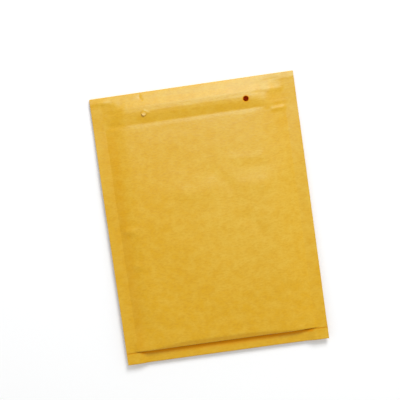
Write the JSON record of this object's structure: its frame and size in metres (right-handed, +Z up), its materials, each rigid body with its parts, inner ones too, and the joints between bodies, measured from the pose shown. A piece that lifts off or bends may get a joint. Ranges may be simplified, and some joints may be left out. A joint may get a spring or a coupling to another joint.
{
  "type": "padded envelope",
  "caption": "Flat kraft paper envelope lined with bubble film, with glued seams, clasp holes and a peel-and-seal flap folded behind.",
  "frame": {"origin": "centre of the envelope's outline, on the surface that it lies on", "axes": "+X to the right across the front face, +Y to the folded top edge, +Z up out of the front face"},
  "size_m": [0.17, 0.225, 0.0085],
  "materials": {
    "kraft_paper": "smooth golden kraft paper with a faint sheen",
    "bubble_film": "clear bubble film",
    "adhesive": "clear hot-melt adhesive",
    "release_liner": "siliconed off-white paper"
  },
  "bodies": {
    "root": {"front_sheet": "kraft_paper", "back_sheet": "kraft_paper", "front_bubble_lining": "bubble_film", "back_bubble_lining": "bubble_film", "adhesive_strip": "adhesive", "release_liner": "release_liner"}
  },
  "joints": []
}
